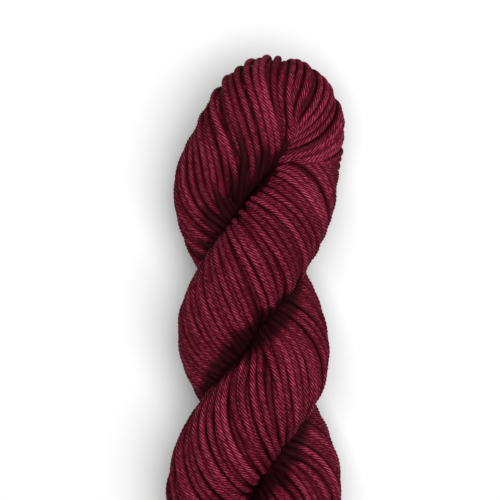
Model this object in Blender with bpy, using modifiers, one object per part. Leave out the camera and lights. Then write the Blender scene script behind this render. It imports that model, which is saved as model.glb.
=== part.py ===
"""A twisted hank of knitting yarn, lying on a table.

A loose ring of yarn is twisted until it doubles back on itself, so the hank is
one closed bundle: two strands laid round each other like a rope, turning over
into each other in a round fold at either end. The bundle is one solid here,
swept along its own centre line. The single turns of yarn are finer than it.

Metres, +Z up. The hank lies along Y with its seen face up, and the origin is
on the table under the middle of its box.
"""
import math

import bpy
import numpy as np
from mathutils import Vector

MM = 0.001

# ---------------------------------------------------------------- dimensions
# The table of the rope: where along the hank, how far the first strand has
# turned round the axis (0 is right, 90 is up), how far the strand's centre
# lies from the axis, the strand's radius, and where the axis runs.
# Millimetres and degrees, from the upper end down.
ROPE_COLUMNS = ("along", "turn", "offset", "radius", "axis_x")
ROPE = (
    (78.2, 180.0, 13.7, 15.8, 0.4),
    (46.9, 270.0, 12.2, 16.6, -1.2),
    (23.1, 360.0, 11.2, 15.8, -0.7),
    (10.0, 408.0, 12.1, 16.6, 1.3),
    (-0.6, 450.0, 12.4, 17.1, 1.0),
    (-32.0, 540.0, 14.9, 17.0, 0.0),
    (-58.5, 630.0, 13.7, 16.4, 0.2),
    (-82.0, 720.0, 12.4, 15.4, 0.0),
)

# The fold at the upper end, from the first strand over to the second:
# across, beyond the end of the rope's table, and up from the axis.
FOLD_COLUMNS = ("across", "beyond", "up", "radius")
UPPER_FOLD = (
    (-6.4, 12.6, 8.9, 16.6),
    (-0.5, 23.3, 11.4, 17.1),
    (6.2, 29.5, 9.4, 17.3),
    (12.6, 26.4, 3.7, 17.3),
    (16.2, 18.4, -5.0, 17.0),
    (15.7, 9.4, -10.4, 16.1),
    (14.6, 1.4, -7.6, 15.7),
)
LOWER_FOLD_SCALE = 0.87      # the lower fold is the upper one, turned half round
LOWER_FOLD_RADIUS = 15.0

FOLD_LEAD = 6.5              # the strand under a fold starts this far in
STRAND_STATIONS = 20         # points read from the rope's table, per strand
CENTRE_STEP = 0.5            # spacing of the smoothed centre line
CENTRE_SOFTENING = 2.9       # width of the smoothing along the centre line
SWEEP_STEP = 3.0             # spacing of the swept sections

TABLE_BELOW_AXIS = 27.0      # the hank has settled on the table this far down
SURFACE_VOXEL = 1.3          # resolution at which the strands grow together
SMOOTHING_PASSES = 6
SURFACE_TRIANGLES = 9000
TABLE_THICKNESS = 20.0

COLOUR = (0.155, 0.0045, 0.031, 1.0)
ROUGHNESS = 0.7


# ----------------------------------------------------------- reading a table
def column(rows, columns, name):
    """One named column of a table, as an array."""
    return np.array([row[columns.index(name)] for row in rows])


def smooth_read(at, stations, values):
    """Values between a table's rows, on one smooth curve through them."""
    slopes = np.gradient(values, stations)
    row = np.clip(np.searchsorted(stations, at) - 1, 0, len(stations) - 2)
    gap = stations[row + 1] - stations[row]
    t = (at - stations[row]) / gap
    return ((2 * t**3 - 3 * t**2 + 1) * values[row]
            + (t**3 - 2 * t**2 + t) * gap * slopes[row]
            + (-2 * t**3 + 3 * t**2) * values[row + 1]
            + (t**3 - t**2) * gap * slopes[row + 1])


# --------------------------------------------------------------- centre line
def strand(along, half_turn):
    """Centre and radius of one strand at places along the hank."""
    rows = ROPE[::-1]
    stations = column(rows, ROPE_COLUMNS, "along")

    def read(name):
        return smooth_read(along, stations, column(rows, ROPE_COLUMNS, name))

    turn = np.radians(read("turn") + half_turn)
    x = read("axis_x") + read("offset") * np.cos(turn)
    z = read("offset") * np.sin(turn)
    return np.stack([x, along, z, read("radius")], axis=1)


def upper_fold():
    """The fold over the upper end, from the first strand to the second."""
    fold = np.array(UPPER_FOLD)
    fold[:, 1] += ROPE[0][0]
    return fold


def lower_fold():
    """The fold under the lower end, from the second strand to the first."""
    fold = np.array(UPPER_FOLD)[::-1]
    fold[:, :3] *= LOWER_FOLD_SCALE
    fold[:, :2] *= -1.0
    fold[:, 1] += ROPE[-1][0]
    fold[:, 3] = LOWER_FOLD_RADIUS
    return fold


def closed_curve(points, step):
    """A smooth closed curve through the points, read at an even step."""
    chords = np.linalg.norm(np.roll(points, -1, axis=0)[:, :3] - points[:, :3], axis=1)
    ends = np.concatenate([[0.0], np.cumsum(chords)])
    around = np.concatenate([points[-2:], points, points[:3]])
    stations = np.concatenate([[-chords[-1] - chords[-2], -chords[-1]], ends,
                               [ends[-1] + chords[0], ends[-1] + chords[0] + chords[1]]])
    at = np.arange(0.0, ends[-1], step)
    columns = [smooth_read(at, stations, around[:, k]) for k in range(points.shape[1])]
    return np.stack(columns, axis=1)


def softened(points, width):
    """The same closed curve with its sharpest bends eased."""
    reach = int(3 * width)
    weights = np.exp(-0.5 * (np.arange(-reach, reach + 1) / width) ** 2)
    weights /= weights.sum()
    around = np.concatenate([points[-reach:], points, points[:reach]])
    columns = [np.convolve(around[:, k], weights, "valid") for k in range(points.shape[1])]
    return np.stack(columns, axis=1)


def centre_line():
    """Centre and radius of the bundle, once round the whole hank."""
    top, end = ROPE[0][0], ROPE[-1][0]
    rising = strand(np.linspace(end, top, STRAND_STATIONS), 0.0)
    falling = strand(np.linspace(top - FOLD_LEAD, end + FOLD_LEAD, STRAND_STATIONS), 180.0)
    route = np.concatenate([rising, upper_fold(), falling, lower_fold()])
    fine = closed_curve(route, CENTRE_STEP)
    return softened(fine, CENTRE_SOFTENING / CENTRE_STEP)


# -------------------------------------------------------------------- object
def yarn_material():
    material = bpy.data.materials.new("burgundy_wool")
    material.use_nodes = True
    shader = material.node_tree.nodes["Principled BSDF"]
    shader.inputs["Base Color"].default_value = COLOUR
    shader.inputs["Roughness"].default_value = ROUGHNESS
    shader.inputs["Metallic"].default_value = 0.0
    material.diffuse_color = COLOUR
    return material


def swept_bundle(name, collection):
    """The bundle as a mesh: round sections along the centre line."""
    line = centre_line()
    line = line[::int(SWEEP_STEP / CENTRE_STEP)]
    curve = bpy.data.curves.new(name + "_route", "CURVE")
    curve.dimensions = "3D"
    curve.bevel_depth = MM
    curve.bevel_resolution = 6
    spline = curve.splines.new("POLY")
    spline.points.add(len(line) - 1)
    for point, (x, y, z, radius) in zip(spline.points, line):
        point.co = (x * MM, y * MM, z * MM, 1.0)
        point.radius = radius
    spline.use_cyclic_u = True

    route = bpy.data.objects.new(name + "_route", curve)
    collection.objects.link(route)
    evaluated = route.evaluated_get(bpy.context.evaluated_depsgraph_get())
    mesh = bpy.data.meshes.new_from_object(evaluated)
    mesh.name = name
    bpy.data.objects.remove(route)
    bundle = bpy.data.objects.new(name, mesh)
    collection.objects.link(bundle)
    return bundle


def table_cutter(collection):
    """A slab whose top is the table that the hank lies on."""
    bpy.ops.mesh.primitive_cube_add(size=1.0)
    slab = bpy.context.object
    slab.name = "table_cutter"
    slab.scale = (0.2, 0.4, TABLE_THICKNESS * MM)
    slab.location.z = -(TABLE_BELOW_AXIS + TABLE_THICKNESS / 2) * MM
    slab.hide_render = True
    slab.display_type = "WIRE"
    for other in list(slab.users_collection):
        other.objects.unlink(slab)
    collection.objects.link(slab)
    return slab


def triangles(mesh):
    return sum(len(polygon.vertices) - 2 for polygon in mesh.polygons)


def evaluated_mesh(thing):
    bpy.context.view_layer.update()
    return thing.evaluated_get(bpy.context.evaluated_depsgraph_get()).to_mesh()


def grown_together(bundle):
    """One skin over the strands where they press into each other."""
    skin = bundle.modifiers.new("one_skin", "REMESH")
    skin.mode = "VOXEL"
    skin.voxel_size = SURFACE_VOXEL * MM
    skin.use_smooth_shade = True
    soften = bundle.modifiers.new("soften", "SMOOTH")
    soften.factor = 0.5
    soften.iterations = SMOOTHING_PASSES
    fine = triangles(evaluated_mesh(bundle))
    thin = bundle.modifiers.new("fewer_faces", "DECIMATE")
    thin.ratio = SURFACE_TRIANGLES / fine


def laid_on_table(bundle, slab):
    """Cuts the resting patches flat."""
    flat = bundle.modifiers.new("rests_on_table", "BOOLEAN")
    flat.operation = "DIFFERENCE"
    flat.solver = "EXACT"
    flat.object = slab


def stand_on_origin(bundle, slab):
    """Moves hank and cutter so that the box's bottom centre is the origin."""
    corners = np.array([vertex.co for vertex in evaluated_mesh(bundle).vertices])
    low, high = corners.min(axis=0), corners.max(axis=0)
    middle = (low + high) / 2
    shift = Vector((-middle[0], -middle[1], TABLE_BELOW_AXIS * MM))
    bundle.location = shift
    slab.location += shift
    return high - low


def main():
    for thing in list(bpy.data.objects):
        bpy.data.objects.remove(thing)
    parts = bpy.data.collections.new("hank_of_yarn")
    cutters = bpy.data.collections.new("cutters")
    bpy.context.scene.collection.children.link(parts)
    bpy.context.scene.collection.children.link(cutters)

    hank = swept_bundle("hank", parts)
    hank.data.materials.append(yarn_material())
    slab = table_cutter(cutters)
    grown_together(hank)
    laid_on_table(hank, slab)
    size = stand_on_origin(hank, slab)
    print("hank", " x ".join(f"{side / MM:.1f}" for side in size), "mm")


main()
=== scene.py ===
# %% [markdown]
# # A hank of burgundy knitting yarn
#
# A hank is one long yarn. It is wound into a loose ring, the ring is twisted
# until it doubles back on itself, and it is laid down. This lesson starts
# from a plain solid of that shape and covers it with the real turns of
# yarn: every turn is a plied cord that follows the twist, presses against
# its neighbours and dives into the creases between the two strands.
#
# Lengths are in millimetres until a mesh is made, because yarn is easier to
# think of that way. Blender's own unit is the metre.

import math

import bpy
import numpy as np
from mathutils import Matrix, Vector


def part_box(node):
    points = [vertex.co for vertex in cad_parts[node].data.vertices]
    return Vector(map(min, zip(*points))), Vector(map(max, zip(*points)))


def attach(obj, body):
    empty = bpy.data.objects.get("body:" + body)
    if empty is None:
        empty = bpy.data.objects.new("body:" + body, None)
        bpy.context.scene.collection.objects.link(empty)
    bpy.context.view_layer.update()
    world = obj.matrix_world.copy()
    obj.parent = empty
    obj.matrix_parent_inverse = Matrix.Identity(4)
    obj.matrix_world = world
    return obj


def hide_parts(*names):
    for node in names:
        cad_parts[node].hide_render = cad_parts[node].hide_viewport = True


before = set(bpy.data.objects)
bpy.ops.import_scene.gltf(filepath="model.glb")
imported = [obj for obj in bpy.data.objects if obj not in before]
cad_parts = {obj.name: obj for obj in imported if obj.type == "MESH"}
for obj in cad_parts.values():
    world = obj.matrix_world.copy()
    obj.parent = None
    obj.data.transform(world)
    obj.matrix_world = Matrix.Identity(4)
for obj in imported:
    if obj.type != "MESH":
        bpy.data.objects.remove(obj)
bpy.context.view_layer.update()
hank_low, hank_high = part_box("hank")
print("hank box", hank_low, hank_high)

# %% [markdown]
# ## The camera
#
# The hank is seen from straight above, so the camera hangs over the table
# and looks down. It could stand close with a wide lens, but then the strands
# would swell towards the middle of the picture. So it stands far off with a
# long lens. The picture is cut off below the hank's middle, and the lower
# third of the hank lies outside it.

# %% Camera over the table
MM = 0.001
PICTURE_PIXELS = 500
PIXEL = 0.36 * MM                 # what one pixel covers at the hank's middle height
FOLD_TOP_PIXEL = 57               # where the upper fold's top is seen
AXIS_PIXEL = 256                  # where the hank's long axis is seen
HANK_MIDDLE_HEIGHT = 27 * MM
CAMERA_DISTANCE = 0.95
SENSOR_WIDTH = 36.0
NEAREST_SEEN = 0.01
FARTHEST_SEEN = 10.0

picture_width = PICTURE_PIXELS * PIXEL
camera_x = (PICTURE_PIXELS / 2 - AXIS_PIXEL) * PIXEL
camera_y = hank_high[1] - (PICTURE_PIXELS / 2 - FOLD_TOP_PIXEL) * PIXEL

camera_data = bpy.data.cameras.new("camera")
camera = bpy.data.objects.new("camera", camera_data)
bpy.context.scene.collection.objects.link(camera)
camera.location = (camera_x, camera_y, HANK_MIDDLE_HEIGHT + CAMERA_DISTANCE)
camera.rotation_euler = (0.0, 0.0, 0.0)
camera_data.sensor_width = SENSOR_WIDTH
camera_data.lens = SENSOR_WIDTH * CAMERA_DISTANCE / picture_width
camera_data.clip_start = NEAREST_SEEN
camera_data.clip_end = FARTHEST_SEEN
bpy.context.scene.camera = camera
print("camera lens", round(camera_data.lens, 1), "mm")

# %% [markdown]
# ## The bundle's centre line
#
# Before any yarn is laid, the bundle needs a skeleton. Two strands turn round
# each other like a rope, and each end folds over into the other strand, so
# the line is closed. It could be a curve object, drawn by hand. Short tables
# are used here, because every yarn has to know the same things of the line:
# where it runs, how thick the strand is there, and which way it turns.
#
# The rope's table has a row for about each quarter turn, from the upper end
# down: how far the first strand has turned round the axis (0 is right, 90 is
# up), how far its centre lies from the axis, its radius, and where the axis
# runs. The fold's table goes from the first strand over to the second: how
# far across, how far beyond the end of the rope's table, how far up from the
# axis, and the radius.

# %% Tables of the rope and the fold
ROPE_COLUMNS = ("along", "turn", "offset", "radius", "axis_x")
ROPE = (
    (78.2, 180.0, 13.7, 15.8, 0.4),
    (46.9, 270.0, 12.2, 16.6, -1.2),
    (23.1, 360.0, 11.2, 15.8, -0.7),
    (10.0, 408.0, 12.1, 16.6, 1.3),
    (-0.6, 450.0, 12.4, 17.1, 1.0),
    (-32.0, 540.0, 14.9, 17.0, 0.0),
    (-58.5, 630.0, 13.7, 16.4, 0.2),
    (-82.0, 720.0, 12.4, 15.4, 0.0),
)
FOLD_COLUMNS = ("across", "beyond", "up", "radius")
FOLD = (
    (-6.4, 12.6, 8.9, 16.6),
    (-0.5, 23.3, 11.4, 17.1),
    (6.2, 29.5, 9.4, 17.3),
    (12.6, 26.4, 3.7, 17.3),
    (16.2, 18.4, -5.0, 17.0),
    (15.7, 9.4, -10.4, 16.1),
    (14.6, 1.4, -7.6, 15.7),
)
ROPE_TOP = ROPE[0][0]
ROPE_END = ROPE[-1][0]
LOWER_FOLD_SCALE = 0.87           # the lower fold is the upper one, turned half round
LOWER_FOLD_RADIUS = 15.0
print("the rope turns", ROPE[-1][1] - ROPE[0][1], "degrees in", ROPE_TOP - ROPE_END, "mm")


# %% Read a table between its rows
def column(rows, columns, name):
    """One named column of a table."""
    return np.array([row[columns.index(name)] for row in rows])


def smooth_read(at, stations, values):
    """Values between a table's rows, on one smooth curve through them."""
    slopes = np.gradient(values, stations)
    row = np.clip(np.searchsorted(stations, at) - 1, 0, len(stations) - 2)
    gap = stations[row + 1] - stations[row]
    t = (at - stations[row]) / gap
    return ((2 * t**3 - 3 * t**2 + 1) * values[row]
            + (t**3 - 2 * t**2 + t) * gap * slopes[row]
            + (-2 * t**3 + 3 * t**2) * values[row + 1]
            + (t**3 - t**2) * gap * slopes[row + 1])


def rope(name, along):
    """One column of the rope's table, read at places along the hank."""
    upwards = ROPE[::-1]
    return smooth_read(along, column(upwards, ROPE_COLUMNS, "along"),
                       column(upwards, ROPE_COLUMNS, name))


print("strand radius halfway", np.round(rope("radius", np.array([0.0])), 2), "mm")


# %% The strands and the folds
def strand(along, half_turn):
    """Centre and radius of one strand at places along the hank."""
    turn = np.radians(rope("turn", along) + half_turn)
    x = rope("axis_x", along) + rope("offset", along) * np.cos(turn)
    z = rope("offset", along) * np.sin(turn)
    return np.stack([x, along, z, rope("radius", along)], axis=1)


def upper_fold():
    """The fold over the upper end, from the first strand to the second."""
    fold = np.array(FOLD)
    fold[:, FOLD_COLUMNS.index("beyond")] += ROPE_TOP
    return fold


def lower_fold():
    """The fold under the lower end, from the second strand to the first."""
    fold = np.array(FOLD)[::-1]
    fold[:, :3] *= LOWER_FOLD_SCALE
    fold[:, :2] *= -1.0
    fold[:, FOLD_COLUMNS.index("beyond")] += ROPE_END
    fold[:, FOLD_COLUMNS.index("radius")] = LOWER_FOLD_RADIUS
    return fold


print("fold tops", upper_fold()[:, 1].max(), "and", round(lower_fold()[:, 1].min(), 1), "mm")


# %% Helpers for a closed line
def closed_curve(points, step):
    """A smooth closed curve through the points, read at an even step."""
    chords = np.linalg.norm(np.roll(points, -1, axis=0)[:, :3] - points[:, :3], axis=1)
    ends = np.concatenate([[0.0], np.cumsum(chords)])
    ring = np.concatenate([points[-2:], points, points[:3]])
    before = [-chords[-1] - chords[-2], -chords[-1]]
    after = [ends[-1] + chords[0], ends[-1] + chords[0] + chords[1]]
    stations = np.concatenate([before, ends, after])
    at = np.arange(0.0, ends[-1], step)
    columns = [smooth_read(at, stations, ring[:, k]) for k in range(points.shape[1])]
    return np.stack(columns, axis=1)


def bell(width):
    """A smoothing window: how far it reaches, and its weights."""
    reach = int(3 * width) + 1
    weights = np.exp(-0.5 * (np.arange(-reach, reach + 1) / width) ** 2)
    return reach, weights / weights.sum()


def softened(values, width):
    """A closed row of values, smoothed along itself."""
    reach, weights = bell(width)
    ring = np.concatenate([values[-reach:], values, values[:reach]])
    flat = ring.reshape(len(ring), -1)
    columns = [np.convolve(flat[:, k], weights, "valid") for k in range(flat.shape[1])]
    return np.stack(columns, 1).reshape(values.shape)


def evenly(points, count):
    """The same closed line with its points at an even spacing, and its length."""
    ring = np.concatenate([points, points[:1]])
    steps = np.linalg.norm(np.diff(ring[:, :3], axis=0), axis=1)
    ends = np.concatenate([[0.0], np.cumsum(steps)])
    at = np.linspace(0.0, ends[-1], count, endpoint=False)
    columns = [np.interp(at, ends, ring[:, k]) for k in range(points.shape[1])]
    return np.stack(columns, axis=1), ends[-1]


print("a window 3 wide reaches", bell(3.0)[0], "to either side")

# %% [markdown]
# ## The same yarn each time
#
# Further down, the turns push each other about many times over. That makes
# much out of very small differences, and a computer's last digits aren't
# always the same. So what goes into the pushing is rounded, far finer than
# anything that can be seen, and every run gives the same hank.

# %% Round far below what shows
STEADY_DIGITS = 5


def steady(values):
    """Rounded far below what shows, so that tiny differences between runs can't grow."""
    return np.round(values, STEADY_DIGITS)


print("steady third", steady(1 / 3))

# %% One closed line round the whole hank
FOLD_LEAD = 6.5                   # the strand under a fold starts this far in
STRAND_STATIONS = 20              # points read from the rope's table, per strand
CENTRE_STEP = 0.5
CENTRE_SOFTENING = 2.9
ROWS = 1136                       # rows of the line: each yarn has a point on every one

rising = strand(np.linspace(ROPE_END, ROPE_TOP, STRAND_STATIONS), 0.0)
falling = strand(np.linspace(ROPE_TOP - FOLD_LEAD, ROPE_END + FOLD_LEAD,
                             STRAND_STATIONS), 180.0)
route = np.concatenate([rising, upper_fold(), falling, lower_fold()])
fine = softened(closed_curve(route, CENTRE_STEP), CENTRE_SOFTENING / CENTRE_STEP)
line, line_length = map(steady, evenly(fine, ROWS))
step = line_length / ROWS
station = np.arange(ROWS) * step
print("centre line", round(line_length, 1), "mm, a row every", round(step, 3), "mm")

# %% [markdown]
# The tables are drawn about the rope's own axis. The solid lies with the
# middle of its box over the origin, so the line is shifted by the middle of
# the tube's reach and lifted by the height of the axis above the table.


# %% Place the line in the frame
def dot(first, second):
    """How far one set of arrows reaches along another."""
    return (first * second).sum(axis=-1)


def square_to(arrows, along):
    """What is left of the arrows without their part along a direction."""
    return arrows - dot(arrows, along)[..., None] * along


def unit(arrows):
    """The same arrows, each one long."""
    return arrows / np.linalg.norm(arrows, axis=-1)[..., None]


TABLE_BELOW_AXIS = 27.0           # the hank has settled on the table this far down
centre = line[:, :3].copy()
radius = line[:, 3]
tangent = steady(unit(np.roll(centre, -1, axis=0) - np.roll(centre, 1, axis=0)))
side_reach = radius[:, None] * np.sqrt(np.maximum(1.0 - tangent**2, 0.0))
tube_low = (centre - side_reach).min(axis=0)
tube_high = (centre + side_reach).max(axis=0)
shift = np.array([-(tube_low[0] + tube_high[0]) / 2,
                  -(tube_low[1] + tube_high[1]) / 2,
                  TABLE_BELOW_AXIS])
centre = steady(centre + shift)
axis_x = rope("axis_x", np.clip(line[:, 1], ROPE_END, ROPE_TOP)) + shift[0]
print("shift", np.round(shift, 2), "tube reach", np.round(tube_high - tube_low, 1))

# %% [markdown]
# Yarn is placed by an angle round the strand, and an angle needs something to
# be measured from. The world's up direction would swing about where the
# strand climbs. So a pair of directions is carried along the line without
# twisting. The angle that points away from the rope's axis is noted too,
# because turns lie closer together there than on the inside.

# %% Untwisted directions along the line
across = np.zeros_like(centre)
across[0] = unit(square_to(np.array([1.0, 0.0, 0.0]), tangent[0]))
for k in range(1, ROWS):
    across[k] = steady(unit(square_to(across[k - 1], tangent[k])))
beyond = steady(np.cross(tangent, across))

axis = np.stack([axis_x, centre[:, 1], np.full(ROWS, TABLE_BELOW_AXIS)], axis=1)
outward = square_to(centre - axis, tangent)
outward_angle = steady(np.unwrap(np.arctan2(dot(outward, beyond), dot(outward, across))))
print("strands lie", np.round(np.linalg.norm(outward, axis=1).mean(), 1), "mm from the axis")


# %% Read the line between its rows
def read_line(values, place):
    """Values that belong to the line's rows, read between the rows."""
    row = np.floor(place).astype(int)
    part = (place - row).reshape(place.shape + (1,) * (values.ndim - 1))
    return values[row % ROWS] * (1 - part) + values[(row + 1) % ROWS] * part


def around(place, angle):
    """Directions at an angle round the strand."""
    return (np.cos(angle)[..., None] * read_line(across, place)
            + np.sin(angle)[..., None] * read_line(beyond, place))


print("centre between the first rows", np.round(read_line(centre, np.array([0.5])), 1))

# %% [markdown]
# ## How fast the yarn winds round its strand
#
# In the twisted ring each yarn runs round the strand as well as along it.
# The rate could be one number for the whole hank, but the turns lie quite
# differently over a fold and along the middle. So a table has a row for each
# place on the bundle, in radians for each millimetre. The rate is highest
# over the fold, where the turns fan out almost square to the strand. The
# gains make it faster on the outside and slower on the inside of the rope,
# and faster on one side of the strand than on the other.

# %% Winding rate along the bundle
fold_top = station[np.argmax(centre[:, 1])]
WINDING_COLUMNS = ("part_of_line", "rate", "outside_gain", "side_gain")
WINDING = (
    (0.0, 0.078, 0.25, 0.43),
    (60.0, 0.078, 0.22, 0.49),
    (110.0, 0.087, 0.34, 0.51),
    (150.0, 0.089, 0.44, 0.06),
    (180.0, 0.080, 0.46, -0.33),
    (200.0, 0.078, 0.46, -0.59),
    (fold_top - 20, 0.078, 0.30, -0.73),
    (fold_top - 8, 0.122, 0.25, -0.68),
    (fold_top + 4, 0.217, 0.40, -0.35),
    (fold_top + 16, 0.274, 0.48, -0.05),
    (fold_top + 30, 0.244, 0.49, 0.09),
    (fold_top + 45, 0.218, 0.50, 0.24),
    (fold_top + 70, 0.142, 0.54, 0.26),
    (fold_top + 100, 0.085, 0.65, 0.18),
    (fold_top + 150, 0.066, 0.74, -0.15),
    (fold_top + 230, 0.090, 0.60, -0.4),
    (fold_top + 275, 0.150, 0.35, -0.4),
    (fold_top + 300, 0.190, 0.4, 0.0),
    (line_length, 0.078, 0.25, 0.43),
)


def along_line(table, columns, name):
    """A table's column, read at every row of the line."""
    return np.interp(station, column(table, columns, "part_of_line"),
                     column(table, columns, name))


rate = along_line(WINDING, WINDING_COLUMNS, "rate")
outside_gain = along_line(WINDING, WINDING_COLUMNS, "outside_gain")
side_gain = along_line(WINDING, WINDING_COLUMNS, "side_gain")
print("a yarn winds", round(float(rate.sum() * step / (2 * math.pi)), 1), "times round")

# %% [markdown]
# Sections cut square through the line fan out over the fold like the pages
# of a book. The real turns don't: where the fold comes over, they lean. So
# each turn is read a little ahead of or behind its own row, the more so the
# further it lies to the side.

# %% Lean the sections over the fold
LEAN_COLUMNS = ("part_of_line", "degrees")
LEAN = (
    (fold_top + 2, 0.0),
    (fold_top + 17, 9.0),
    (fold_top + 26, 11.0),
    (fold_top + 48, 0.0),
)
LEAN_SOFTENING = 6                # rows
leaning = softened(along_line(LEAN, LEAN_COLUMNS, "degrees"), LEAN_SOFTENING)
lean = steady(np.tan(np.radians(leaning)))
outer_side = steady(unit(np.cross([0.0, 0.0, 1.0], tangent)))


def places(angles):
    """Where on the line each turn is read at each row: over the fold the sections lean."""
    rows = np.repeat(np.arange(ROWS)[:, None], angles.shape[1], axis=1)
    aside = dot(around(rows, angles), outer_side[:, None])
    return rows - lean[:, None] * aside * radius[:, None] / step


print("sections lean up to", round(float(leaning.max()), 1), "degrees")

# %% [markdown]
# Now each turn can be wound: from its start it takes one row after another,
# turning on by the rate. The turns would bunch up where the gains are
# strongest, so a gentle pull keeps them spread over the strand.

# %% Wind the turns
TURNS = 44
START_JITTER = 0.3                # of the room between two turns
EVENING_LENGTH = 45.0             # the pull spreads them over about this length
FULL_TURN = 2 * math.pi
DICE_START = 11                   # the same number rolls the same dice each time
dice = np.random.default_rng(DICE_START)


def wound(starts):
    """The angle of each yarn at every row, wound from its start."""
    angles = np.zeros((ROWS + 1, len(starts)))
    angles[0] = starts
    even_places = np.arange(len(starts)) * FULL_TURN / len(starts)
    for k in range(ROWS):
        off = angles[k] - outward_angle[k]
        gain = 1.0 + outside_gain[k] * np.cos(off) + side_gain[k] * np.sin(off)
        turned = angles[k] - rate[k] * gain * step
        uneven = turned - even_places
        angles[k + 1] = steady(turned + (uneven.mean() - uneven) * step / EVENING_LENGTH)
    return angles


starts = np.arange(TURNS) + START_JITTER * dice.uniform(-1, 1, TURNS)
once_round = wound(starts * FULL_TURN / TURNS)
print(TURNS, "turns wound through", once_round.shape[0], "rows")

# %% [markdown]
# After one trip round the hank a yarn doesn't meet its own start: it goes on
# as another turn, and that is how one long yarn makes all of them. The order
# of the turns is matched so that each has the least way to go, and the last
# rows ease it over.

# %% Join the turns into one ring
JOINING_ROWS = 160


def closing_turn():
    """How far the carried directions have turned after one trip round the line."""
    return math.atan2(across[-1] @ beyond[0], across[-1] @ across[0])


def joined_up(angles):
    """Eases the ends of the yarns onto the starts, so that the ring closes.

    Gives the angles and, for each yarn, the one it goes on as.
    """
    starts = angles[0] % FULL_TURN
    ends = (angles[ROWS] + closing_turn()) % FULL_TURN
    start_order = np.argsort(starts)
    end_order = np.argsort(ends)
    best = None
    for hop in range(len(starts)):
        taker = np.roll(start_order, hop)
        miss = (starts[taker] - ends[end_order] + math.pi) % FULL_TURN - math.pi
        if best is None or np.abs(miss).max() < np.abs(best[0]).max():
            best = (miss, taker)
    correction = np.zeros(len(starts))
    correction[end_order] = best[0]
    goes_to = np.zeros(len(starts), dtype=int)
    goes_to[end_order] = best[1]
    ramp = np.clip((np.arange(ROWS) - (ROWS - JOINING_ROWS)) / JOINING_ROWS, 0, 1)
    ramp = ramp * ramp * (3 - 2 * ramp)
    return angles[:ROWS] + ramp[:, None] * correction, goes_to


angles, goes_to = joined_up(once_round)
angles = steady(angles)
print("the first turn goes on as turn", goes_to[0])

# %% [markdown]
# ## Laying the turns side by side
#
# Real turns are not even. They wander, press on each other, and where there
# is no room one slips under the next. This could be drawn turn by turn, but
# it is less work, and truer, to let the turns find their own places. First
# come helpers that follow a yarn across the row where the ring was joined.


# %% Follow a yarn past the joined row
def with_ends(values, reach):
    """Rows of every yarn with a piece of what comes before and after."""
    comes_from = np.argsort(goes_to)
    return np.concatenate([values[-reach:][:, comes_from], values, values[:reach][:, goes_to]])


def smooth_along(values, width):
    """Each yarn's rows smoothed along the yarn, past the joined row too."""
    reach, weights = bell(width)
    run = with_ends(values, reach)
    smooth = np.zeros_like(values)
    for k, weight in enumerate(weights):
        smooth += weight * run[k:k + ROWS]
    return smooth


def directions(place):
    """Directions along each yarn."""
    run = with_ends(place, 1)
    return unit(run[2:] - run[:-2])


def on_strand(angles, reach):
    """Rows where the turns are read, the way out from the strand, and their places."""
    where = places(angles)
    out = around(where, angles)
    return where, out, read_line(centre, where) + reach[..., None] * out


YARN_THICKNESS = 2.5
lies_at = (radius - YARN_THICKNESS / 2)[:, None]
first_places = on_strand(angles, lies_at)[2]
print("the turns reach", np.round(np.abs(first_places).max(axis=(0, 1)), 1), "mm")


# %% Sort the turns round the strand, and back
def order_round(angles):
    """The order in which the turns lie round the strand, at every row."""
    return np.argsort(angles % FULL_TURN, axis=1)


def in_order(values, order):
    """Values of the turns, sorted by that order."""
    return np.take_along_axis(values, order.reshape(order.shape + (1,) * (values.ndim - 2)), axis=1)


def given_back(values, order):
    """Sorted values, given back to the turns that they belong to."""
    given = np.zeros_like(values)
    np.put_along_axis(given, order, values, axis=1)
    return given


print("turns round the first row", order_round(angles)[0][:6], "and so on")

# %% [markdown]
# Over the inside of a bend the strand's skin is too short for all the turns,
# and some have to go under. How many find room is measured at each place,
# from how far apart the third neighbours to either side lie. Which turns go
# under is a matter of rank. The ranks count in halves, quarters and eighths
# round the ring, so that those that sink are spread evenly, and a turn that
# has sunk stays down for as long as the room is short.

# %% Find which turns have to sink
SPACING = 2.5                     # between two turns that lie side by side
ROOM_HOPS = 3
ROOM_SMOOTHING = 8                # rows
RANK_BITS = 6
RANK_JITTER = 0.02
ON_TOP = 1.25                     # so many more stay up, pressed close
SINK_EASE = 0.5                   # how gradually a turn goes down as the room shrinks


def room_on_top(angles):
    """The share of the turns that finds room side by side, at every row of every turn."""
    order = order_round(angles)
    where, out, place = on_strand(angles, lies_at)
    along = in_order(directions(place), order)
    place = in_order(place, order)
    gap = np.roll(place, -ROOM_HOPS, axis=1) - np.roll(place, ROOM_HOPS, axis=1)
    width = np.linalg.norm(square_to(gap, along), axis=2)
    return smooth_along(given_back(width / (2 * ROOM_HOPS * SPACING), order), ROOM_SMOOTHING)


def ranks(count):
    """An order from 0 to 1 in which turns stay on top, spread evenly round the ring."""
    spread = np.array([int(f"{k:0{RANK_BITS}b}"[::-1], 2) / 2**RANK_BITS for k in range(count)])
    mixed = spread + dice.normal(0, RANK_JITTER, count)
    rank = np.zeros(count)
    rank[np.argsort(mixed)] = (np.arange(count) + 0.5) / count
    return rank


room = steady(room_on_top(angles))
sunk = np.clip((ranks(TURNS) / (ON_TOP * room) - 1.0) / SINK_EASE + 0.5, 0.0, 1.0)
print("room on top", np.round(np.percentile(room, [5, 25, 50, 75, 95]), 2))

# %% [markdown]
# Each yarn also wanders a little by itself, in long waves and in short ones,
# to the side and in depth. A smoothed row of dice gives such waves.

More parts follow.
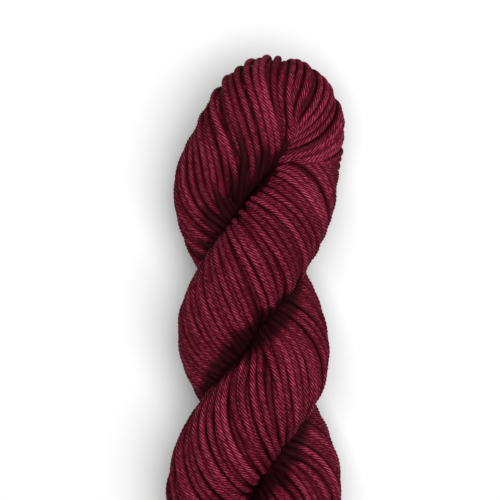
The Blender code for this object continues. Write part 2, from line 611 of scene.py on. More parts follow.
# %% Let each yarn wander
WINDOWS_IN_WAVE = 4.0
LONG_WANDER = (70.0, 0.14)        # length of the waves, and their size in radians
SHORT_WANDER = (25.0, 0.035)
DEPTH_WANDER = (45.0, 0.3)        # length of the waves, and their size in mm
USUAL_DEPTH = 0.35
SINK_DEPTH = 2.5
LEAST_DEPTH = -0.2
DEPTH_SMOOTHING = 8               # rows


def wander(wave, size):
    """A smooth random row for each yarn, with waves about so many mm long."""
    noise = dice.normal(size=(ROWS, TURNS))
    rows = smooth_along(noise, wave / step / WINDOWS_IN_WAVE)
    return steady(rows / rows.std() * size)


angles += wander(*LONG_WANDER) + wander(*SHORT_WANDER)
depth_wish = USUAL_DEPTH + wander(*DEPTH_WANDER) + SINK_DEPTH * sunk
depth_wish = steady(np.maximum(smooth_along(depth_wish, DEPTH_SMOOTHING), LEAST_DEPTH))
print("depth wished for", np.round(np.percentile(depth_wish, [5, 50, 95]), 2), "mm")

# %% [markdown]
# Then neighbours that lie too close push each other apart, over and over. A
# push goes straight from one to the other: mostly round the strand, but
# where one lies a little deeper already it is pushed deeper still, and that
# is how it slips under. Between the pushes each turn is drawn gently back to
# where it wished to lie, and its stiffness smooths it out, so that it
# doesn't kink.

# %% How neighbours push
PUSHING_NEIGHBOURS = 4            # on either side
NO_GAP = 1e-6


def neighbours_push(place, along, out, sideways, reach):
    """How neighbours that lie too close push each turn round the strand, and deeper."""
    push_angle = np.zeros(reach.shape)
    push_depth = np.zeros(reach.shape)
    for hop in range(1, PUSHING_NEIGHBOURS + 1):
        gap = square_to(np.roll(place, -hop, axis=1) - place, along)
        size = np.linalg.norm(gap, axis=2) + NO_GAP
        short = np.maximum(SPACING - size, 0.0) / 2
        towards = gap / size[..., None]
        far_out = np.roll(out, -hop, axis=1)
        far_side = np.roll(sideways, -hop, axis=1)
        push_angle -= dot(towards, sideways) * short / reach
        push_depth += dot(towards, out) * short
        push_angle += np.roll(dot(towards, far_side) * short, hop, 1) / reach
        push_depth -= np.roll(dot(towards, far_out) * short, hop, 1)
    return push_angle, push_depth


def halfway(angles_sorted):
    """Halfway between a turn's two neighbours, at every row."""
    ahead_one = np.roll(angles_sorted, -1, axis=1)
    ahead_one[:, -1] += FULL_TURN
    behind_one = np.roll(angles_sorted, 1, axis=1)
    behind_one[:, 0] -= FULL_TURN
    return (ahead_one + behind_one) / 2


# %% Let the turns settle
SETTLING_PASSES = 120
PUSHED_ASIDE = 0.45               # the share of a push that one pass carries out
PUSHED_DEEPER = 0.6
EVENED_OUT = 0.02
DRAWN_BACK_ASIDE = 0.03
DRAWN_BACK_UP = 0.10
STIFFENED_EVERY = 4               # passes
STIFFNESS = 3.5                   # rows
DEEPEST = 7.0


def settled(wish, depth_wish):
    """Pushes neighbours apart until they fit. Gives angles and depths."""
    angles = wish.copy()
    depth = depth_wish.copy()
    for turn in range(SETTLING_PASSES):
        order = order_round(angles)
        angles_sorted = in_order(angles % FULL_TURN, order)
        where, out, place = on_strand(angles, lies_at - depth)
        along = in_order(directions(place), order)
        out = in_order(out, order)
        sideways = np.cross(in_order(read_line(tangent, where), order), out)
        reach = lies_at - in_order(depth, order)
        push_angle, push_depth = neighbours_push(in_order(place, order), along, out,
                                                 sideways, reach)
        angles += PUSHED_ASIDE * given_back(push_angle, order)
        depth += PUSHED_DEEPER * given_back(push_depth, order)
        angles += EVENED_OUT * given_back(halfway(angles_sorted) - angles_sorted, order)
        angles += DRAWN_BACK_ASIDE * (wish - angles)
        depth += DRAWN_BACK_UP * (depth_wish - depth)
        if (turn + 1) % STIFFENED_EVERY == 0:
            depth = smooth_along(depth, STIFFNESS)
            angles = wish + smooth_along(angles - wish, STIFFNESS)
        angles = steady(angles)
        depth = steady(np.clip(depth, LEAST_DEPTH, DEEPEST))
    return angles, depth


angles, depth = settled(angles, depth_wish)
print("deepest", round(float(depth.max()), 2), "mm, middle", round(float(np.median(depth)), 2))

# %% [markdown]
# ## Where the strands meet
#
# The two strands press each other flat. Cutting one with the other would
# leave a hard edge and cut turns open. So a turn that would enter the other
# strand is drawn back towards its own centre until it is as deep in one as
# in the other, and it starts to give way a little before that, as wool does.
#
# To know how deep a point is in the other strand, the nearest place on a far
# stretch of the line is looked up. What is near along the line is the turn's
# own strand, and doesn't count. Over the fold there is no sharp border
# between the two, so nearer places count less and less.

# %% The nearest place of the other strand
OWN_REACH = 28.0                  # nearer than this along the line is its own strand
OWN_FADES = 34.0                  # and from there on a place counts more and more
NEAR_YIELD = 1.1                  # in radii, for what is only just far enough
NEVER = 9.0                       # more than any place can be deep
LOOK_EVERY = 5                    # rows
POINTS_AT_A_TIME = 4000           # more would need too much memory at once


def nearest_other(skin, where, apart, fades):
    """For each point, the nearest place on a far stretch of the centre line.

    Places not far along the line yield, the more so the nearer they are. The
    second value says how much the place found yields.
    """
    sparse = np.arange(0, ROWS, LOOK_EVERY)
    found, yields = [], []
    for k in range(0, len(skin), POINTS_AT_A_TIME):
        some = skin[k:k + POINTS_AT_A_TIME]
        own = where[k:k + POINTS_AT_A_TIME]
        gap = np.abs(own[:, None] * step - station[sparse][None])
        gap = np.minimum(gap, line_length - gap)
        give = NEAR_YIELD * np.clip((apart + fades - gap) / fades, 0.0, 1.0)
        give[gap < apart] = NEVER
        reach = np.linalg.norm(some[:, None] - centre[sparse][None], axis=2)
        reach = reach / radius[sparse][None]
        best = np.argmin(reach + give, axis=1)
        found.append(sparse[best])
        yields.append(give[np.arange(len(some)), best])
    return np.concatenate(found), np.concatenate(yields)


some_rows = np.array([0.0, ROWS / 4, ROWS / 2])
print("other strand's rows", nearest_other(read_line(centre, some_rows), some_rows,
                                           OWN_REACH, OWN_FADES)[0])

# %% [markdown]
# On the inside of a tight bend a strand would run into itself as well. There
# the reach is cut down to what the bend leaves, with a rounded change from
# one to the other.

# %% The room inside a bend
BEND_ROOM = 0.9                   # of the way to the bend's own centre
CURVING_SOFTENING = 6             # rows
ROUNDING = 8                      # higher is a sharper change
STRAIGHT = 1e-3
curving = (np.roll(tangent, -1, axis=0) - np.roll(tangent, 1, axis=0)) / (2 * step)
curving = steady(softened(curving, CURVING_SOFTENING))


def bend_room(where, out):
    """The reach a turn finds before it meets itself on the inside of a bend."""
    own_radius = read_line(radius, where)
    bend = dot(read_line(curving, where), out)
    room = BEND_ROOM / np.maximum(bend, STRAIGHT)
    return (own_radius**-ROUNDING + room**-ROUNDING) ** (-1 / ROUNDING)


print("tightest bend", round(1 / float(np.linalg.norm(curving, axis=1).max()), 1), "mm")

# %% [markdown]
# How far to draw back can't be written down in one line, because the depth
# in the other strand changes as the turn moves. So the right share of the
# reach is found by halving: the answer lies between two shares, the middle
# is tried, and the half that can't hold it is dropped.
#
# One more measure is taken on the way, with a wider idea of a strand's own
# stretch. It tells the creases apart from the rest later, where painted
# shade darkens them.

# %% Press the strands together
MEETING_SOFTNESS = 0.17           # in radii: how early a strand gives way
FREE_AT = 5                       # so many softnesses away, nothing is pressed
LEAST_SHARE = 0.3
HALVINGS = 14
# The next two only tell where the painted crease shade goes.
SAME_FOLD = 40.0                  # as OWN_REACH, for telling where a crease is
SAME_FOLD_FADES = 34.0


def pressed(where, out, reach):
    """Places at a reach from the strand's centre, pressed against the other strand.

    Also how far each place was in the other strand before, and how far it
    was in what lies across a crease, both in radii.
    """
    own = read_line(centre, where)
    own_reach = bend_room(where, out)
    reach = reach * own_reach / read_line(radius, where)
    skin = own + out * own_reach[:, None]
    nearest = nearest_other(skin, where, OWN_REACH, OWN_FADES)

    def excess(share, nearest=nearest):
        other, give = nearest
        points = own + out * (own_reach * share)[:, None]
        return share - np.linalg.norm(points - centre[other], axis=1) / radius[other] - give

    free = excess(np.ones(len(own)))
    beside = excess(np.ones(len(own)), nearest_other(skin, where, SAME_FOLD, SAME_FOLD_FADES))
    goal = -MEETING_SOFTNESS * np.logaddexp(0.0, -free / MEETING_SOFTNESS)
    low = np.full(len(own), LEAST_SHARE)
    high = np.ones(len(own))
    for _ in range(HALVINGS):
        middle = (low + high) / 2
        over = excess(middle) > goal
        high = np.where(over, middle, high)
        low = np.where(over, low, middle)
    share = np.where(free < -FREE_AT * MEETING_SOFTNESS, 1.0, (low + high) / 2)
    points = own + out * (reach * share)[:, None]
    return points, free, beside


# %% Lay the turns in place
TABLE_SOFTNESS = 0.9


def on_table(points, half):
    """Lifts what would sink through the table so that it lies on it."""
    lifted = points.copy()
    over = (points[:, 2] - half) / TABLE_SOFTNESS
    lifted[:, 2] = half + TABLE_SOFTNESS * np.logaddexp(0.0, over)
    return lifted


def laid(angles, reach):
    """Paths of all turns, their way out, and how far they enter what they meet."""
    where = places(angles)
    out = around(where, angles)
    points, entering, beside = pressed(where.reshape(-1), out.reshape(-1, 3), reach.reshape(-1))
    points = on_table(points, YARN_THICKNESS / 2).reshape(out.shape)
    return points, out, entering.reshape(angles.shape), beside.reshape(angles.shape)


paths, outs, entering, beside = laid(angles, lies_at - depth)
print("lowest", round(float(paths[:, :, 2].min()), 2), "mm, highest",
      round(float(paths[:, :, 2].max()), 2), "mm above the table")

# %% [markdown]
# ## What can't be seen
#
# Nobody sees the yarn inside the hank, so it isn't made. A stretch is left
# out where it is well inside the crease, where it is very deep, or where it
# lies under two others that close over it. A stretch that shows anywhere
# has to stay, because a cut end in sight would give the hank away.

# %% Find the hidden stretches
HIDDEN_DEPTH = 0.20               # in radii into the other strand
SEEN_DEPTH = 3.6
OVER_IT = 1.0                     # a turn this much higher lies over it
OPENING = 0.3                     # two turns this close together show nothing between
COVERING_NEIGHBOURS = 5           # on either side
FAR_ASIDE = 9.0


def covered(angles, depth):
    """Where a turn lies under others that close over it."""
    order = order_round(angles)
    where, out, place = on_strand(angles, lies_at - depth)
    sideways = in_order(np.cross(directions(place), out), order)
    place = in_order(place, order)
    deep = in_order(depth, order)
    left = np.full(deep.shape, FAR_ASIDE)
    right = left.copy()
    for hop in range(-COVERING_NEIGHBOURS, COVERING_NEIGHBOURS + 1):
        aside = dot(np.roll(place, hop, axis=1) - place, sideways)
        above = deep - np.roll(deep, hop, axis=1) > OVER_IT
        left = np.where(above & (aside >= 0), np.minimum(left, aside), left)
        right = np.where(above & (aside < 0), np.minimum(right, -aside), right)
    return given_back(left + right < YARN_THICKNESS + OPENING, order)


hidden = (entering > HIDDEN_DEPTH) | (depth > SEEN_DEPTH) | covered(angles, depth)
print("hidden share", round(float(hidden.mean()), 2))

# %% [markdown]
# ## One long yarn
#
# The turn that ends where the ring closes goes on as another turn. Following
# it from turn to turn gives long loops, and each loop is cut only where it
# is hidden. A few more rows stay at both ends of each stretch, so that its
# ends are buried.

# %% Cut the yarn into its seen stretches
BURIED_ROWS = 8
SHORTEST_RUN = 8                  # rows


def loops():
    """The turns in the order in which the yarn passes through them."""
    left = set(range(TURNS))
    found = []
    while left:
        turn = min(left)
        chain = []
        while turn in left:
            left.remove(turn)
            chain.append(turn)
            turn = int(goes_to[turn])
        found.append(chain)
    return found


def seen_runs():
    """Lists of (rows, turns) for each stretch of yarn that can be seen."""
    runs = []
    for chain in loops():
        rows = np.tile(np.arange(ROWS), len(chain))
        turns = np.repeat(chain, ROWS)
        seen = ~hidden[rows, turns]
        wide = seen.copy()
        for k in range(1, BURIED_ROWS + 1):
            wide |= np.roll(seen, k) | np.roll(seen, -k)
        first = int(np.argmax(~wide))
        rows, turns, wide = np.roll(rows, -first), np.roll(turns, -first), np.roll(wide, -first)
        edges = np.flatnonzero(np.diff(np.concatenate([[0], wide.astype(int), [0]])))
        for begin, end in edges.reshape(-1, 2):
            if end - begin > SHORTEST_RUN:
                runs.append((rows[begin:end], turns[begin:end]))
    return runs


runs = seen_runs()
runs.sort(key=lambda run: paths[run[0], run[1], 1].mean())
print(len(loops()), "loops cut into", len(runs), "stretches")

# %% [markdown]
# ## The plied yarn
#
# Close up, the yarn is not a smooth tube. Fine plies are twisted round each
# other, and each shows as a slanted ridge. A curve with a round bevel would
# need the plies as bump, and bump is flat at the edge of a thing. So the
# section is a small wheel with a point on every ridge and in every groove,
# and it turns as it moves along. The mesh's own edges then follow the plies.

# %% Rings of the plied section
PLIES = 7
PLY_LEAD = 11.3                   # mm along the yarn for one turn of the plies
RING_STEP = 1.0
FEWEST_RINGS = 4
RIDGE = 1.08                      # of the yarn's mean radius
GROOVE = 0.82


def evenly_spaced(points, outs, spacing):
    """A path and its outward directions read at an even spacing."""
    steps = np.linalg.norm(np.diff(points, axis=0), axis=1)
    ends = np.concatenate([[0.0], np.cumsum(steps)])
    at = np.linspace(0.0, ends[-1], max(FEWEST_RINGS, int(ends[-1] / spacing) + 1))
    path = np.stack([np.interp(at, ends, points[:, k]) for k in range(3)], 1)
    out = np.stack([np.interp(at, ends, outs[:, k]) for k in range(3)], 1)
    return path, out, at


def plied(path, out, at, half, lead):
    """Rings of a wheel-shaped section that turns as it goes along the path.

    Also how far up each point of a ring lies, from -1 at the strand to 1.
    """
    along = unit(np.gradient(path, axis=0))
    up = unit(square_to(out, along))
    right = np.cross(along, up)
    wheel = np.arange(2 * PLIES) * math.pi / PLIES
    rims = np.where(np.arange(2 * PLIES) % 2 == 0, RIDGE, GROOVE)
    turn = wheel + dice.uniform(0, FULL_TURN) - FULL_TURN * at[:, None] / lead
    ring = half * rims
    rings = (path[:, None] + (ring * np.cos(turn))[..., None] * up[:, None]
             + (ring * np.sin(turn))[..., None] * right[:, None])
    return rings, np.cos(turn)


print("ridges lie", round(math.pi * YARN_THICKNESS / PLIES, 2), "mm apart round the yarn")

# %% [markdown]
# ## Many stretches in one mesh
#
# Thirty metres of yarn in hundreds of stretches are too many to model one by
# one, and an object for each would be slow to handle. So the rings are
# worked out as rows of numbers, and a bag collects many stretches and makes
# one mesh of them. Each stretch has a lid on both ends, so that it is
# closed, and a map that says which ply each face is on and how far along
# the yarn it is. The plies and fibres in the material follow that map.


# %% Faces between rings
def side_faces(own, after, lengths):
    """Quads from rings of point numbers to the rings after them, with their map."""
    k = np.arange(own.shape[1])[None]
    quads = [own, np.roll(own, -1, axis=1), np.roll(after, -1, axis=1), after]
    u0 = k / 2.0 + 0 * own
    u1 = (k + 1) / 2.0 + 0 * own
    v0 = lengths[:-1, None] + 0 * k
    v1 = lengths[1:, None] + 0 * k
    corners = [np.stack(corner, 2) for corner in ((u0, v0), (u1, v0), (u1, v1), (u0, v1))]
    return np.stack(quads, 2).reshape(-1, 4), np.stack(corners, 2).reshape(-1, 2)


def lid_faces(rim, middle, length):
    """A fan of triangles over an end, with its map."""
    fan = np.stack([rim, np.roll(rim, -1), np.full(len(rim), middle)], 1)
    return fan, np.tile([0.0, length], (fan.size, 1))


two_rings = np.arange(12).reshape(2, 6)
print("two rings of six give", len(side_faces(two_rings[:1], two_rings[1:],
                                              np.array([0.0, 1.0]))[0]), "quads")


# %% Make one mesh of them
def mesh_object(name, points, quads, lids, uvs, tones_and_shades):
    """An object from points in mm, with a map called ply and, at each point, a tone that carries
    painted shade.
    """
    corners = np.concatenate([quads.reshape(-1), lids.reshape(-1)])
    begins = np.concatenate([np.arange(len(quads)) * 4,
                             len(quads) * 4 + np.arange(len(lids)) * 3])
    mesh = bpy.data.meshes.new(name)
    mesh.vertices.add(len(points))
    mesh.vertices.foreach_set("co", (points * MM).astype(np.float32).ravel())
    mesh.loops.add(len(corners))
    mesh.loops.foreach_set("vertex_index", corners.astype(np.int32))
    mesh.polygons.add(len(begins))
    mesh.polygons.foreach_set("loop_start", begins.astype(np.int32))
    mesh.polygons.foreach_set("use_smooth", np.ones(len(begins), dtype=bool))
    mesh.update(calc_edges=True)
    layer = mesh.uv_layers.new(name="ply")
    layer.data.foreach_set("uv", uvs.astype(np.float32).ravel())
    # Each point's tone: random dye tone with painted shade added.
    tone_and_shade = mesh.attributes.new("tone_and_shade", "FLOAT", "POINT")
    tone_and_shade.data.foreach_set("value", tones_and_shades.astype(np.float32))
    mesh.validate()
    thing = bpy.data.objects.new(name, mesh)
    bpy.context.scene.collection.objects.link(thing)
    return thing


ring_points = 2 * PLIES
print("each ring of yarn has", ring_points, "points")


# %% A bag of stretches
class Bag:
    """Collects swept yarns for one mesh."""

    def __init__(self, name):
        self.name = name
        self.points = []
        self.tones_and_shades = []
        self.quads = []
        self.quad_uvs = []
        self.lids = [np.zeros((0, 3), dtype=int)]
        self.lid_uvs = [np.zeros((0, 2))]
        self.count = 0

    def keep(self, points, tones_and_shades, sides, lids):
        """Puts points and faces with those that are in the bag."""
        self.points.append(points)
        self.tones_and_shades.append(tones_and_shades)
        self.quads.append(sides[0])
        self.quad_uvs.append(sides[1])
        self.lids += [fan for fan, uvs in lids]
        self.lid_uvs += [uvs for fan, uvs in lids]
        self.count += len(points)

    def add(self, rings, lengths, tone_and_shade):
        """A stretch of yarn with a lid on either end."""
        numbers = self.count + np.arange(tone_and_shade.size).reshape(tone_and_shade.shape)
        tip = self.count + tone_and_shade.size
        lids = [lid_faces(numbers[0][::-1], tip, lengths[0]),
                lid_faces(numbers[-1], tip + 1, lengths[-1])]
        self.keep(np.concatenate([rings.reshape(-1, 3), rings[[0, -1]].mean(axis=1)]),
                  np.concatenate([tone_and_shade.reshape(-1), tone_and_shade[[0, -1]].mean(axis=1)]),
                  side_faces(numbers[:-1], numbers[1:], lengths), lids)

    def add_loop(self, rings, lengths, tone_and_shade, twist):
        """A bundle that closes on itself, its last ring meeting the first turned by a twist."""
        numbers = self.count + np.arange(tone_and_shade.size).reshape(tone_and_shade.shape)
        after = np.concatenate([numbers[1:], np.roll(numbers[:1], -twist, axis=1)])
        self.keep(rings.reshape(-1, 3), tone_and_shade.reshape(-1),
                  side_faces(numbers, after, lengths), [])

    def triangles(self):
        return 2 * sum(map(len, self.quads)) + sum(map(len, self.lids))

    def build(self):
        return mesh_object(self.name, np.concatenate(self.points), np.concatenate(self.quads),
                           np.concatenate(self.lids),
                           np.concatenate(self.quad_uvs + self.lid_uvs),
                           np.concatenate(self.tones_and_shades))


ten_rings = Bag("ten_rings")
ten_rings.add(np.zeros((10, ring_points, 3)), np.arange(10.0), np.zeros((10, ring_points)))
print("ten rings with their lids take", ten_rings.triangles(), "triangles")

# %% [markdown]
# ## Light and dark along the yarn
#
# Deep in a crease no light gets back out, and wool that drinks light is
# nearly black there. A ray-traced lamp gives only part of that, because the
# crease of the mesh is less deep than the real one. So shade is painted in:
# each point carries a tone, and the material is darker where the tone is low.
# The painted shade falls towards the line where the strands meet, from
# further out in the middle of the hank, where the crease is deepest, and a
# little with the depth of the turn.

# %% Painted shade of the creases
CREASE_SHADE = 1.3
CREASE_STARTS = -0.08             # in radii before the strands meet
CREASE_ENDS = 0.04
CREASE_MIDDLE = 10.0              # mm to either side of the rope's axis
MIDDLE_WIDENS = 0.07
DEPTH_SHADE = 0.16                # for each mm

# Painted shade: darker towards the line where the strands meet, from further out near the rope's
# axis, and darker the deeper a turn lies.
aside = (paths[:, :, 0] - axis_x[:, None]) / CREASE_MIDDLE
begins = CREASE_STARTS - MIDDLE_WIDENS * np.exp(-(aside**2))
shadowed = np.clip((beside - begins) / (CREASE_ENDS - begins), 0, 1)
shadowed = CREASE_SHADE * shadowed**2 + DEPTH_SHADE * depth
print("shade", np.round(np.percentile(shadowed, [5, 50, 95]), 2))

# %% [markdown]
# ## The outer turns
#
# Now every stretch is swept. No two are quite alike: each has its own tint,
# thickness and ply, and the tint also walks a little along the yarn. The
# stretches are sorted along the hank and shared among seven bags, which
# keeps each mesh small enough to handle. Between two turns lies a hollow,
# which real wool shows darker than a lamp alone makes it, so painted shade
# lowers the tone on the sides and the underside of each ring.

# %% Sweep the outer turns into bags along the hank
BAGS = 7
TONE_WALK = (60.0, 0.07)          # length of the waves, and their size
TONE_SPREAD = 0.06
THICKNESS_SPREAD = 0.03
LEAD_SPREAD = 0.05
LONGEST_SHIFT = 50.0              # where along the fibres' pattern a stretch starts
HOLLOW_SHADE = 0.85
HOLLOW_BELOW = 0.85               # points that lie less far up count as hollow

all_rows = sum(len(rows) for rows, turns in runs)
tone_walk = wander(*TONE_WALK)
bags = [Bag(f"outer_turns_{k + 1}") for k in range(BAGS)]
yarn_length = 0.0
rows_done = 0
for rows, turns in runs:
    path, out, at = evenly_spaced(paths[rows, turns], outs[rows, turns], RING_STEP)
    shade = dice.normal(0, TONE_SPREAD)
    along_run = tone_walk[rows, turns] - shadowed[rows, turns]
    tone_and_shade = shade + np.interp(np.linspace(0, 1, len(path)), np.linspace(0, 1, len(rows)),
                             along_run)
    half = YARN_THICKNESS / 2 * (1 + dice.normal(0, THICKNESS_SPREAD))
    lead = PLY_LEAD * (1 + dice.normal(0, LEAD_SPREAD))
    rings, rise = plied(path, out, at, half, lead)
    # Painted shade on the sides and the underside of each ring.
    tone_and_shade = tone_and_shade[:, None] + HOLLOW_SHADE * np.minimum(rise - HOLLOW_BELOW, 0.0)
    lengths = at + dice.uniform(0, LONGEST_SHIFT)
    bags[BAGS * rows_done // all_rows].add(rings, lengths, tone_and_shade)
    yarn_length += at[-1]
    rows_done += len(rows)
pieces = [bag.build() for bag in bags]
print("outer yarn", round(yarn_length / 1000, 2), "m, triangles",
      [bag.triangles() for bag in bags])

# %% [markdown]
# ## The bundle inside
#
# Between two turns one would look through to the table. A bundle behind
# them stops that, and its tone is painted shade, near black, since little
# light reaches that deep. A shrunken copy of the plain solid could do it, but
# its creases are shallower and it would show in them. So the bundle follows
# the same line, a few millimetres further in, with plain round sections,
# since only slits of it show. Where the strands lie side by side it is filled
# up towards the other strand, because a low view could find a hole between
# them. It closes on itself: the carried directions have turned by then, so
# the last ring meets the first a few points on.

# %% Sweep the bundle inside
CORE_POINTS = 28
CORE_COLUMNS = ("part_of_line", "depth", "filling")
CORE = (
    (0.0, 3.3, 0.0),
    (15.0, 3.3, 1.5),
    (fold_top - 45, 3.3, 1.5),
    (fold_top - 25, 2.5, 0.0),
    (fold_top + 25, 2.5, 0.0),
    (fold_top + 45, 3.3, 1.5),
    (fold_top + 225, 3.3, 1.5),
    (fold_top + 240, 3.3, 0.0),
)
CORE_EVERY = 3                    # rows
CORE_PAINTED_SHADE = -0.8
FACING_SHARPNESS = 4

core_angles = np.tile(np.arange(CORE_POINTS) * FULL_TURN / CORE_POINTS, (ROWS, 1))
core_rows = np.repeat(np.arange(ROWS)[:, None], CORE_POINTS, axis=1)
core_out = around(core_rows, core_angles)
core_room = bend_room(core_rows.reshape(-1), core_out.reshape(-1, 3))
facing = np.maximum(-np.cos(core_angles - outward_angle[:, None]), 0.0) ** FACING_SHARPNESS
core_reach = core_room.reshape(ROWS, CORE_POINTS)
core_reach = core_reach - along_line(CORE, CORE_COLUMNS, "depth")[:, None]
core_reach += along_line(CORE, CORE_COLUMNS, "filling")[:, None] * facing
rings = centre[:, None] + core_reach[..., None] * core_out
rings = on_table(rings.reshape(-1, 3), YARN_THICKNESS / 2).reshape(rings.shape)[::CORE_EVERY]
twist = int(round(closing_turn() / (FULL_TURN / CORE_POINTS)))

core = Bag("inner_bundle")
# The bundle's tone is painted shade, near black.
core.add_loop(rings, np.arange(len(rings) + 1.0), np.full(rings.shape[:2], CORE_PAINTED_SHADE), twist)
pieces.append(core.build())
print("core", core.triangles(), "triangles, closed with a turn of", twist, "points")

# %% [markdown]
# ## The wool
#
# Dyed wool isn't one colour. On the ridges of the plies a highlight is
# painted, light and pinkish, and in the grooves shade, a deep red that is
# almost black. Fine fibres give random light streaks that also serve as
# painted glints, and the dye takes better in one place than in another. One
# colour made lighter and darker would look like plastic, because its redness
# would stay the same. So the colour is read from a short ramp by level, and
# the level is a sum: the height of the ply, fine fibres along the yarn, large
# soft patches of dye, and the tone with its painted shade from the mesh.
#
# Wool hardly shines, so it is rough with very little gloss.

# %% The wool's colours and how they are mixed
WOOL_COLUMNS = ("level", "red", "green", "blue")
# The light pink top of this ramp is the colour of the painted highlights, its near-black bottom
# that of the painted shade.
WOOL_BY_LEVEL = (
    (0.0, 0.021, 0.0015, 0.0040),
    (0.5, 0.088, 0.0022, 0.0108),
    (0.66, 0.155, 0.0066, 0.0265),
    (1.0, 0.47, 0.060, 0.125),
)
# Height paints a highlight on every ply ridge and shade in every groove; fibre gives random streaks
# that also serve as painted glints; tone brings the painted shade from the mesh.
LEVEL_FROM = {                    # each with its weight and its offset
    "height": (0.48, 0.325),
    "fibre": (1.6, -0.8),
    "dye": (0.25, -0.125),
    "tone_and_shade": (0.6, 0.0),
}
RELIEF_FROM = {
    "height": (1.0, 0.0),
    "fibre": (0.8, 0.0),
}
WOOL_ROUGHNESS = 0.75
WOOL_GLOSS = 0.08
BUMP_STRENGTH = 0.8
BUMP_HEIGHT = 0.12                # mm
FIBRE_STRETCH = (3.0, 0.6, 1.0)   # fine across the yarn, long along it
FIBRE_DETAIL = 3.0
FIBRE_ROUGHNESS = 0.6
DYE_SCALE = 60.0
DYE_DETAIL = 2.0
print("wool from", WOOL_BY_LEVEL[0][1:], "to", WOOL_BY_LEVEL[-1][1:])


# %% Helpers for the material's nodes
def calculated(tree, operation, *terms):
    """The result of a Math node. Each term is a number or another node's output."""
    math_node = tree.nodes.new("ShaderNodeMath")
    math_node.operation = operation
    for socket, term in zip(math_node.inputs, terms):
        if isinstance(term, float):
            socket.default_value = term
        else:
            tree.links.new(term, socket)
    return math_node.outputs[0]


def mixed_level(tree, sources, table):
    """The sources, each times its weight and moved by its offset, added up."""
    total = None
    for name, (weight, offset) in table.items():
        scaled = calculated(tree, "MULTIPLY_ADD", sources[name], weight, offset)
        total = scaled if total is None else calculated(tree, "ADD", total, scaled)
    return total


def noise(tree, vector, scale, detail):
    """A Noise Texture node that reads the given coordinates."""
    pattern = tree.nodes.new("ShaderNodeTexNoise")
    pattern.inputs["Scale"].default_value = scale
    pattern.inputs["Detail"].default_value = detail
    tree.links.new(vector, pattern.inputs["Vector"])
    return pattern


def colour_ramp(tree, rows, columns):
    """A Color Ramp node from a table of colours by level."""
    ramp = tree.nodes.new("ShaderNodeValToRGB")
    stops = ramp.color_ramp.elements
    for level in column(rows, columns, "level")[1:-1]:
        stops.new(level)
    colours = zip(*[column(rows, columns, name) for name in ("red", "green", "blue")])
    for stop, colour in zip(stops, colours):
        stop.color = (*colour, 1.0)
    return ramp


print("level from", ", ".join(LEVEL_FROM), "and relief from", ", ".join(RELIEF_FROM))

# %% [markdown]
# The sections have the ridges of the plies in their edges. The material
# rounds them: the same map gives a wave with a crest on every ridge, and
# that wave, with the fibres, is the height for a very shallow bump. The same
# wave paints a highlight on every crest and shade in every groove.


# %% The wool itself
def level_sources(tree):
    """What the wool's level is mixed from: height, which paints highlight and shade on the plies,
    fibre, dye, and tone, which carries painted shade.
    """
    ply_map = tree.nodes.new("ShaderNodeUVMap")
    ply_map.uv_map = "ply"
    split = tree.nodes.new("ShaderNodeSeparateXYZ")
    tree.links.new(ply_map.outputs["UV"], split.inputs[0])
    wave = calculated(tree, "MULTIPLY", split.outputs["X"], FULL_TURN)
    crest = calculated(tree, "COSINE", wave)

    stretch = tree.nodes.new("ShaderNodeMapping")
    stretch.inputs["Scale"].default_value = FIBRE_STRETCH
    tree.links.new(ply_map.outputs["UV"], stretch.inputs["Vector"])
    fibre = noise(tree, stretch.outputs[0], 1.0, FIBRE_DETAIL)
    fibre.inputs["Roughness"].default_value = FIBRE_ROUGHNESS

    place = tree.nodes.new("ShaderNodeTexCoord")
    dye = noise(tree, place.outputs["Object"], DYE_SCALE, DYE_DETAIL)
    tone_and_shade = tree.nodes.new("ShaderNodeAttribute")
    tone_and_shade.attribute_name = "tone_and_shade"
    return {
        "height": calculated(tree, "MULTIPLY_ADD", crest, 0.5, 0.5),
        "fibre": fibre.outputs["Fac"],
        "dye": dye.outputs["Fac"],
        "tone_and_shade": tone_and_shade.outputs["Fac"],
    }


def wool(name):
    """The plied wool: colour by level, with painted highlight and shade in it, and a shallow bump.
    """
    material = bpy.data.materials.new(name)
    material.use_nodes = True
    tree = material.node_tree
    shader = tree.nodes["Principled BSDF"]
    shader.inputs["Roughness"].default_value = WOOL_ROUGHNESS
    shader.inputs["Specular IOR Level"].default_value = WOOL_GLOSS
    sources = level_sources(tree)

    ramp = colour_ramp(tree, WOOL_BY_LEVEL, WOOL_COLUMNS)
    tree.links.new(mixed_level(tree, sources, LEVEL_FROM), ramp.inputs["Fac"])
    tree.links.new(ramp.outputs["Color"], shader.inputs["Base Color"])

    bump = tree.nodes.new("ShaderNodeBump")
    bump.inputs["Strength"].default_value = BUMP_STRENGTH
    bump.inputs["Distance"].default_value = BUMP_HEIGHT * MM
    tree.links.new(mixed_level(tree, sources, RELIEF_FROM), bump.inputs["Height"])
    tree.links.new(bump.outputs[0], shader.inputs["Normal"])
    return material


burgundy = wool("plied_burgundy_wool")
print(burgundy.name, "has", len(burgundy.node_tree.nodes), "nodes")

# %% [markdown]
# Every mesh gets the wool. Each rides on the hank's one body, and the plain
# solid is hidden, so that the yarn is seen in its place.

# %% Dress the hank
for piece in pieces:
    piece.data.materials.append(burgundy)
    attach(piece, "root")
    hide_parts("hank")
print("dressed with", [piece.name for piece in pieces])

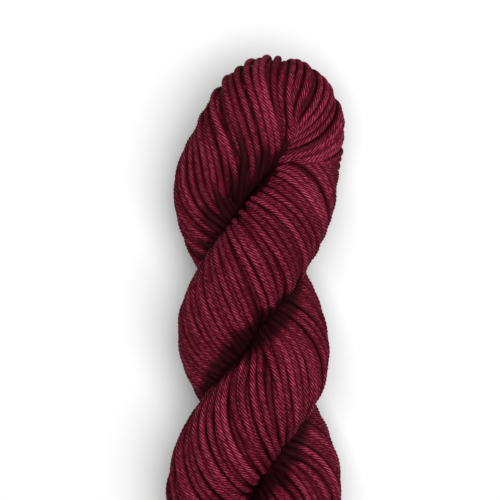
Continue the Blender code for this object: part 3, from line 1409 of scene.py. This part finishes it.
# %% [markdown]
# ## The table
#
# The hank lies on a white table that fills the picture. A plain square does
# for it. A white square throws light up into the hank from below, and the
# creases would lose their depth, so it is hidden from bounced light.

# %% White table
TABLE_SIDE = 3.0
TABLE_WHITE = (0.85, 0.85, 0.85, 1)

bpy.ops.object.select_all(action="DESELECT")
bpy.ops.mesh.primitive_plane_add(size=TABLE_SIDE, location=(0, 0, 0))
table = bpy.context.object
table.name = "table_top"
white = bpy.data.materials.new("matt_white_table")
white.use_nodes = True
matt = white.node_tree.nodes["Principled BSDF"]
matt.inputs["Base Color"].default_value = TABLE_WHITE
matt.inputs["Roughness"].default_value = 1.0
matt.inputs["Specular IOR Level"].default_value = 0.0
table.data.materials.append(white)
table.visible_diffuse = False
print("table", TABLE_SIDE, "m across")

# %% [markdown]
# ## The light
#
# The picture has one large soft light overhead, a little to the right and
# towards the fold. Its shadows are short and soft. A big square lamp gives
# that, and a weak white room fills the dark side. A sun would draw hard
# shadows, and a bright room none at all.

# %% Soft light
ROOM_LIGHT = 0.12
LAMP_PLACE = (0.11, 0.10, 1.0)
LAMP_SIDE = 0.85
LAMP_WATTS = 14.0
LIT_SPOT = (0.0, 0.03, 0.02)

soft_room = bpy.data.worlds.new("soft_room")
soft_room.use_nodes = True
background = soft_room.node_tree.nodes["Background"]
background.inputs["Color"].default_value = (1, 1, 1, 1)
background.inputs["Strength"].default_value = ROOM_LIGHT
bpy.context.scene.world = soft_room

lamp_data = bpy.data.lights.new("overhead_softbox", "AREA")
lamp_data.shape = "RECTANGLE"
lamp_data.size = LAMP_SIDE
lamp_data.size_y = LAMP_SIDE
lamp_data.energy = LAMP_WATTS
lamp = bpy.data.objects.new("overhead_softbox", lamp_data)
bpy.context.scene.collection.objects.link(lamp)
lamp.location = LAMP_PLACE
aim = unit(np.array(LIT_SPOT) - np.array(LAMP_PLACE))
lamp.rotation_euler = (math.acos(-aim[2]), 0.0, math.atan2(aim[1], aim[0]) - math.pi / 2)
bpy.context.scene.view_settings.view_transform = "Standard"
print("lamp tilted by", round(math.degrees(lamp.rotation_euler[0]), 1), "degrees")
